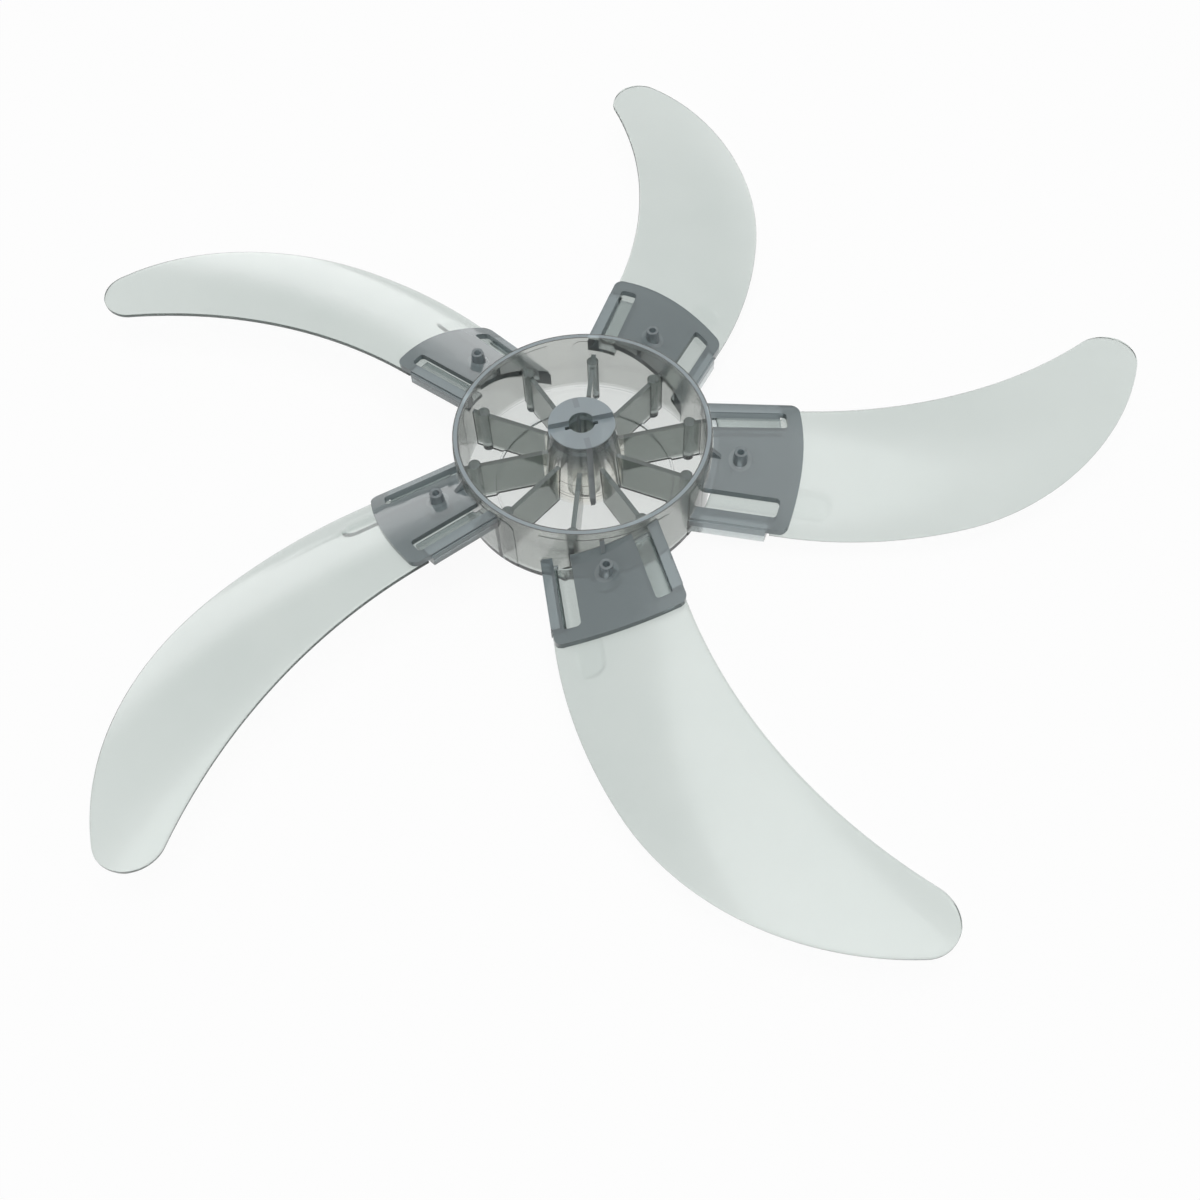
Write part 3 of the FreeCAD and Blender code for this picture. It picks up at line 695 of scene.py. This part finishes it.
def overlaid(tree, mask, under, over):
    """A finish laid over another where a mask is one.

    A finish is a colour and the share of light that passes through."""
    colour = mixed(tree, "RGBA", mask, under[0], over[0])
    clear = mixed(tree, "FLOAT", mask, under[1], over[1])
    return colour, clear


def distance(tree, first, second):
    """Length of a two-part vector."""
    squares = [maths(tree, "POWER", part, 2.0) for part in (first, second)]
    return maths(tree, "SQRT", maths(tree, "ADD", *squares))


def arm_place(tree, x, y, radius):
    """A point turned back to the first arm.

    Its distance along the screw's line from the shaft, and its distance aside from that line."""
    turn = maths(tree, "SUBTRACT", maths(tree, "ARCTAN2", y, x), ARM_ANGLE)
    turn = maths(tree, "WRAP", turn, math.pi / BLADE_COUNT, -math.pi / BLADE_COUNT)
    ahead = maths(tree, "MULTIPLY", radius, maths(tree, "COSINE", turn))
    aside = maths(tree, "MULTIPLY", radius, maths(tree, "SINE", turn))
    return ahead, aside


def above_blade(tree, ahead, aside, radius, height):
    """Height above the blade's middle surface, worked out as in middle_height with the camber at the drum."""
    from_corner = maths(tree, "SUBTRACT", ahead, LEAD_CORNER[0])
    inward = maths(tree, "MULTIPLY", from_corner, math.sin(LEAD_HEADING))
    from_corner = maths(tree, "SUBTRACT", aside, LEAD_CORNER[1])
    across = maths(tree, "MULTIPLY", from_corner, math.cos(LEAD_HEADING))
    depth = maths(tree, "SUBTRACT", inward, across)
    beyond = maths(tree, "SUBTRACT", radius, DRUM_RADIUS)
    pitch = maths(tree, "MULTIPLY_ADD", beyond, -PITCH_SLOPE / PITCH_RUN, PITCH_SLOPE)
    share = maths(tree, "DIVIDE", depth, CAMBER_CHORD)
    crown = maths(tree, "MULTIPLY", share, maths(tree, "SUBTRACT", 1.0, share))
    middle = maths(tree, "MULTIPLY_ADD", beyond, -LEAD_FALL, LEAD_HEIGHT)
    middle = maths(tree, "SUBTRACT", middle, maths(tree, "MULTIPLY", pitch, depth))
    middle = maths(tree, "MULTIPLY_ADD", crown, 4 * CAMBER, middle)
    return maths(tree, "SUBTRACT", height, middle)


def frost_and_sheen_places(tree, y, radius, height):
    """Where the hub has a slight frosting and a pale painted sheen.

    Along the middle of the rim, on the boss's rear face and in its slot.
    """
    rim = both(tree, near(tree, radius, RIM_MIDDLE, *RIM_STRIP), past(tree, height, *RIM_TOP))
    slot = both(tree, near(tree, y, 0.0, *SLOT_STRIP), past(tree, height, *SLOT_FLOOR))
    top = maths(tree, "MAXIMUM", past(tree, height, *BOSS_TOP), slot)
    top = both(tree, top, near(tree, radius, 0.0, *BOSS_EDGE))
    return maths(tree, "MAXIMUM", rim, top)


def smoke_plastic():
    """Smoky plastic that darkens with the light's way through it.

    The floor is clear, the boss clears towards its foot and has two mould lines and two dark webs, and the
    ribs are greyer. The arms' plates are tinted darkest, a painted shade, and the screw posts lighter, a
    painted highlight. The rim, the boss's rear face and its slot have a slight frosting and a pale painted
    sheen."""
    material = bpy.data.materials.new("smoke_plastic")
    tree, output = nodes_of(material)
    place = tree.nodes.new("ShaderNodeTexCoord").outputs["Object"]
    x, y, height = [maths(tree, "DIVIDE", part, MM) for part in parted(tree, place)]
    radius = distance(tree, x, y)
    ahead, aside = arm_place(tree, x, y, radius)
    rise = above_blade(tree, ahead, aside, radius, height)
    wall = past(tree, radius, *WALL_EDGE)
    outside = past(tree, radius, *OUTSIDE_EDGE)
    plate_shade = both(tree, past(tree, rise, *PLATE_LEVEL), outside)
    from_screw = distance(tree, maths(tree, "SUBTRACT", ahead, SCREW_X), aside)
    post_highlight = both(tree, near(tree, from_screw, 0.0, *POST_ROUND), past(tree, rise, *POST_FOOT))
    lines = [near(tree, height, level, *MOULD_LINE) for level in MOULD_LINE_HEIGHTS]
    lines = both(tree, maths(tree, "MAXIMUM", *lines), past(tree, radius, *BOSS_SKIN))
    web = both(tree, near(tree, x, 0.0, *WEB_STRIP), near(tree, radius, 0.0, *BOSS_EDGE))
    web = both(tree, web, past(tree, radius, *SLEEVE_EDGE))
    frost_and_sheen = frost_and_sheen_places(tree, y, radius, height)

    deep = mapped(tree, height, *BOSS_DEEPENS, 0.0, 1.0)
    finish = overlaid(tree, deep, BOSS_FOOT_FINISH, BOSS_HEAD_FINISH)
    finish = overlaid(tree, lines, finish, MOULD_LINE_FINISH)
    finish = overlaid(tree, web, finish, WEB_FINISH)
    deep = mapped(tree, height, *SLEEVE_DEEPENS, 0.0, 1.0)
    sleeve = overlaid(tree, deep, SLEEVE_FOOT_FINISH, BORE_FINISH)
    finish = overlaid(tree, past(tree, radius, *SLEEVE_EDGE), sleeve, finish)
    finish = overlaid(tree, past(tree, radius, *BOSS_EDGE), finish, RIB_FINISH)
    finish = overlaid(tree, wall, finish, WALL_FINISH)
    finish = overlaid(tree, past(tree, height, *FLOOR_TOP), FLOOR_FINISH, finish)
    finish = overlaid(tree, outside, finish, SOCKET_FINISH)
    # Painted shade on the arms' plates
    finish = overlaid(tree, plate_shade, finish, PLATE_PAINTED_SHADE)
    # Painted highlight on the screw posts
    finish = overlaid(tree, post_highlight, finish, POST_PAINTED_HIGHLIGHT)
    shown = maths(tree, "MULTIPLY_ADD", web, -WEB_SHADE, 1.0)
    # Painted sheen with the frosting on the hub's top faces, weaker over the webs
    finish = overlaid(tree, both(tree, frost_and_sheen, shown), finish, FROST_AND_SHEEN_FINISH)

    shader = tree.nodes.new("ShaderNodeBsdfPrincipled")
    tree.links.new(finish[0], shader.inputs["Base Color"])
    tree.links.new(finish[1], shader.inputs["Transmission Weight"])
    grain = noise(tree, place, *SMOKE_GRAIN)
    polish = mapped(tree, grain, *PATTERN_RANGE, *SMOKE_POLISH)
    satin = mapped(tree, grain, *PATTERN_RANGE, *SMOKE_SATIN)
    dull = maths(tree, "MAXIMUM", frost_and_sheen, maths(tree, "SUBTRACT", wall, outside))
    tree.links.new(mixed(tree, "FLOAT", dull, polish, satin), shader.inputs["Roughness"])
    ripple = bumped(tree, noise(tree, place, *SMOKE_WAVES), *SMOKE_RIPPLE)
    tree.links.new(ripple, shader.inputs["Normal"])
    shader.inputs["IOR"].default_value = PLASTIC_INDEX
    tree.links.new(shader.outputs[0], output.inputs["Surface"])
    absorbing(tree, output, *SMOKE_DEPTH)
    return material


def clear_plastic():
    """Pale green-grey clear plastic: faint cloudiness, flow marks in its gloss, and deeper along its edges.

    Its colour is deeper on the root and grows paler towards the tip."""
    material = bpy.data.materials.new("clear_plastic")
    tree, output = nodes_of(material)
    place = tree.nodes.new("ShaderNodeTexCoord").outputs["Object"]
    x, y, _ = parted(tree, place)
    radius = maths(tree, "DIVIDE", distance(tree, x, y), MM)
    cloud = mapped(tree, noise(tree, place, *BLADE_CLOUD), *PATTERN_RANGE, 0.0, 1.0)
    tint = mixed(tree, "RGBA", cloud, CLOUD_DEEP, CLOUD_PALE)
    tint = mixed(tree, "RGBA", past(tree, radius, *ROOT_COLOUR_EDGE), ROOT_COLOUR, tint)
    tint = mixed(tree, "RGBA", mapped(tree, radius, *TIP_PALES, 0.0, TIP_SHARE), tint, TIP_COLOUR)
    shader = tree.nodes.new("ShaderNodeBsdfPrincipled")
    tree.links.new(tint, shader.inputs["Base Color"])
    gloss = mapped(tree, noise(tree, place, *BLADE_FLOW), *PATTERN_RANGE, *BLADE_GLOSS)
    tree.links.new(gloss, shader.inputs["Roughness"])
    ripple = bumped(tree, noise(tree, place, *BLADE_WAVES), *BLADE_RIPPLE)
    tree.links.new(ripple, shader.inputs["Normal"])
    shader.inputs["IOR"].default_value = PLASTIC_INDEX
    shader.inputs["Transmission Weight"].default_value = BLADE_CLEAR
    tree.links.new(shader.outputs[0], output.inputs["Surface"])
    absorbing(tree, output, *BLADE_DEPTH)
    return material


# Studio

def white_to_lens(tree, weight):
    """A weight on camera, glossy and transmission rays, zero on all others."""
    rays = tree.nodes.new("ShaderNodeLightPath")
    seen = maths(tree, "MAXIMUM", rays.outputs["Is Camera Ray"], rays.outputs["Is Glossy Ray"])
    seen = maths(tree, "MAXIMUM", seen, rays.outputs["Is Transmission Ray"])
    return maths(tree, "MULTIPLY", seen, weight)


def blended(tree, output, weight, matt, white):
    """Feeds an output with a matt shader, and to the lens with a white one by a weight."""
    mix = tree.nodes.new("ShaderNodeMixShader")
    tree.links.new(white_to_lens(tree, weight), mix.inputs[0])
    tree.links.new(matt.outputs[0], mix.inputs[1])
    tree.links.new(white.outputs[0], mix.inputs[2])
    tree.links.new(mix.outputs[0], output.inputs["Surface"])


def floor():
    """A wide white floor that shows near white to the lens and keeps a soft shadow."""
    corners = [
        (-FLOOR_SPAN, -FLOOR_SPAN, FLOOR_LEVEL),
        (FLOOR_SPAN, -FLOOR_SPAN, FLOOR_LEVEL),
        (FLOOR_SPAN, FLOOR_SPAN, FLOOR_LEVEL),
        (-FLOOR_SPAN, FLOOR_SPAN, FLOOR_LEVEL),
    ]
    mesh = bpy.data.meshes.new("floor")
    mesh.from_pydata(corners, [], [(0, 1, 2, 3)])
    plane = bpy.data.objects.new("floor", mesh)
    bpy.context.scene.collection.objects.link(plane)
    material = bpy.data.materials.new("studio_floor")
    tree, output = nodes_of(material)
    matt = tree.nodes.new("ShaderNodeBsdfDiffuse")
    matt.inputs["Color"].default_value = FLOOR_COLOUR
    glow = tree.nodes.new("ShaderNodeEmission")
    blended(tree, output, FLOOR_WHITE, matt, glow)
    mesh.materials.append(material)


def overhead_lamp():
    """A broad soft lamp above the fan; its power is radiance * pi * area."""
    lamp = bpy.data.lights.new("overhead", "AREA")
    lamp.shape = "DISK"
    lamp.size = LAMP_WIDTH
    lamp.energy = LAMP_RADIANCE * math.pi * math.pi * (LAMP_WIDTH / 2) ** 2
    holder = bpy.data.objects.new("overhead", lamp)
    holder.location = (0, 0, LAMP_HEIGHT)
    holder.visible_glossy = False
    bpy.context.scene.collection.objects.link(holder)


def studio():
    """A white room.

    Mirrored in the plastic it is brightest overhead and, beyond the fan, low above the floor."""
    world = bpy.data.worlds.new("studio")
    bpy.context.scene.world = world
    world.use_nodes = True
    tree = world.node_tree
    tree.nodes.clear()
    output = tree.nodes.new("ShaderNodeOutputWorld")
    x, y, height = parted(tree, tree.nodes.new("ShaderNodeTexCoord").outputs["Generated"])
    overhead = mapped(tree, height, *OVERHEAD_SPAN, 0.0, OVERHEAD_LIGHT)
    from_x = maths(tree, "MULTIPLY", x, -math.sin(HEADING))
    from_y = maths(tree, "MULTIPLY", y, math.cos(HEADING))
    beyond = mapped(tree, maths(tree, "ADD", from_x, from_y), *BEYOND_SPAN, 0.0, 1.0)
    low = maths(tree, "MULTIPLY", mapped(tree, height, *LOW_SPAN, LOW_LIGHT, 0.0), beyond)
    glow = maths(tree, "ADD", maths(tree, "ADD", overhead, low), MIRRORED_LIGHT)
    rays = tree.nodes.new("ShaderNodeLightPath")
    mirrored = maths(tree, "SUBTRACT", rays.outputs["Is Glossy Ray"], rays.outputs["Is Transmission Ray"])
    light = tree.nodes.new("ShaderNodeBackground")
    light.inputs["Color"].default_value = ROOM_COLOUR
    light.inputs["Strength"].default_value = ROOM_LIGHT
    seen = tree.nodes.new("ShaderNodeBackground")
    seen.inputs["Color"].default_value = ROOM_COLOUR
    tree.links.new(mixed(tree, "FLOAT", mirrored, 1.0, glow), seen.inputs["Strength"])
    blended(tree, output, 1.0, light, seen)
    overhead_lamp()


def camera():
    """The photograph's camera: aimed at the shaft axis, rolled, then turned so the axis meets its pixel."""
    forward = np.array([0, math.cos(ELEVATION), -math.sin(ELEVATION)])
    level = np.array([[1, 0, 0], [0, -math.sin(ELEVATION), -math.cos(ELEVATION)], forward])
    rolled = np.array([
        [math.cos(ROLL), -math.sin(ROLL), 0],
        [math.sin(ROLL), math.cos(ROLL), 0],
        [0, 0, 1],
    ])
    ray = np.array([*(np.array(AIM_PIXEL) - PICTURE / 2) / FOCAL_PIXELS, 1])
    ray /= np.linalg.norm(ray)
    swing = np.cross([0, 0, 1], ray)
    turn = Matrix.Rotation(math.acos(ray[2]), 3, swing / np.linalg.norm(swing))
    right, down, ahead = np.array(turn) @ rolled @ level
    eye = np.array([0, 0, AIM_HEIGHT]) - AIM_DISTANCE * forward
    pose = np.eye(4)
    pose[:3, :4] = np.column_stack([right, -down, -ahead, eye])
    data = bpy.data.cameras.new("lens")
    data.sensor_width = SENSOR_WIDTH
    data.lens = FOCAL_PIXELS / PICTURE * SENSOR_WIDTH
    data.clip_start = NEAREST_SEEN
    holder = bpy.data.objects.new("lens", data)
    holder.matrix_world = Matrix.Rotation(HEADING, 4, "Z") @ Matrix(pose.tolist())
    bpy.context.scene.collection.objects.link(holder)
    bpy.context.scene.camera = holder


dress_hub(smoke_plastic())
add_blades(clear_plastic())
floor()
studio()
camera()
bpy.context.scene.view_settings.view_transform = "Standard"
